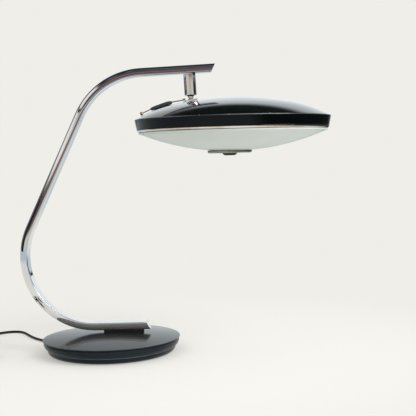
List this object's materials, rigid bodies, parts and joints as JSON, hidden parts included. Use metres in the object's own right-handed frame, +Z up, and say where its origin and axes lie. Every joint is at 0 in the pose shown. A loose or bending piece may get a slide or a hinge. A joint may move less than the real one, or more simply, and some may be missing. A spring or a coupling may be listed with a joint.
{
  "type": "desk lamp",
  "caption": "Desk lamp with a weighted round base, a bent half-round chrome arm, a ball joint and a wide gloss black dish shade with a frosted glass dish below.",
  "frame": {"origin": "centre of the underside of the base, on the surface it stands on", "axes": "+Z up, +X from the base towards the shade, +Y to the left when looking along +X"},
  "size_m": [0.6822, 0.3887, 0.5138],
  "materials": {
    "black_lacquer": "gloss",
    "black_enamel": "satin",
    "chrome_plate": "polished",
    "zinc_steel": "satin",
    "nickel_plate": "satin",
    "dark_metal": "satin",
    "brass_bead": "polished",
    "opal_glass": "frosted",
    "bulb_glass": "frosted",
    "black_grip": "satin",
    "black_cord": "matte",
    "black_plastic": "gloss",
    "white_ceramic": "gloss",
    "soft_seal": "matte",
    "green_felt": "matte"
  },
  "bodies": {
    "stand": {"base_cover": "black_lacquer", "base_weight": "black_enamel", "foot_ring": "black_enamel", "bottom_plate": "zinc_steel", "felt_pad": "green_felt", "bottom_screws": "zinc_steel", "arm_bolts": "zinc_steel", "bolt_washers": "zinc_steel", "foot_saddle": "dark_metal", "arm_tube": "chrome_plate", "arm_foot_cap": "chrome_plate", "arm_tip_cap": "chrome_plate", "foot_nuts": "zinc_steel", "neck_anchor": "zinc_steel", "cable_bush": "soft_seal", "arm_cable": "soft_seal", "terminal_block": "white_ceramic", "terminal_screws": "zinc_steel", "cord_clamp": "zinc_steel", "clamp_screws": "zinc_steel", "strain_relief": "black_cord", "inner_lead": "black_cord", "neck_washer": "chrome_plate", "neck_nipple": "zinc_steel", "neck_spring_washer": "zinc_steel", "neck_lock_nut": "zinc_steel", "cord_lead": "black_cord", "cord_middle": "black_cord", "cord_coil": "black_cord", "cord_end": "black_cord", "switch_base": "black_plastic", "switch_cover": "black_plastic", "switch_inner_parts": "black_plastic", "plug_body": "black_plastic", "plug_pins": "nickel_plate"},
    "neck": {"neck_sleeve": "chrome_plate", "neck_plug": "zinc_steel", "groove_washer": "dark_metal", "stud_nut": "zinc_steel", "ball_stud": "chrome_plate"},
    "liner": {"ball_liner": "soft_seal"},
    "head": {"socket_ring": "chrome_plate", "socket_cup": "zinc_steel", "shade_dome": "black_lacquer", "trim_ring": "chrome_plate", "glass_seal": "soft_seal", "lamp_bridge": "zinc_steel", "lamp_holders": "white_ceramic", "bulb_caps": "zinc_steel", "bulbs": "bulb_glass", "centre_rod": "zinc_steel", "rod_nuts": "zinc_steel", "head_cable": "soft_seal", "handle_rod": "chrome_plate", "handle_ball": "brass_bead", "handle_grip": "black_grip"},
    "diffuser": {"diffuser_glass": "opal_glass", "diffuser_disc": "nickel_plate"},
    "knob": {"diffuser_knob": "dark_metal"},
    "rocker": {"switch_rocker": "black_plastic"}
  },
  "joints": [
    {"name": "neck_swivel", "type": "hinge", "parent": "stand", "child": "neck", "pos_m": [0.15326, 0, 0.4964], "axis": [-0.0359, 0, 0.9994], "range_deg": [-75, 75]},
    {"name": "head_nod", "type": "hinge", "parent": "neck", "child": "liner", "pos_m": [0.1551, 0, 0.44501], "axis": [0, 1, 0], "range_deg": [-20, 20]},
    {"name": "head_roll", "type": "hinge", "parent": "liner", "child": "head", "pos_m": [0.1551, 0, 0.44501], "axis": [-1, 0, 0], "range_deg": [-15, 15]},
    {"name": "diffuser_lower", "type": "slide", "parent": "head", "child": "diffuser", "axis": [0, 0, -1], "range_m": [0, 0.008]},
    {"name": "knob_turn", "type": "hinge", "parent": "diffuser", "child": "knob", "pos_m": [0.22175, 0, 0.352], "axis": [0, 0, -1], "range_deg": [0, 2880]},
    {"name": "switch_press", "type": "hinge", "parent": "stand", "child": "rocker", "pos_m": [-0.2672, 0.095, 0.013], "axis": [1, 0, 0], "range_deg": [0, 12]}
  ],
  "couplings": [
    {"joint": "knob_turn", "follows": "diffuser_lower", "rad_per_m": 6283.2}
  ]
}
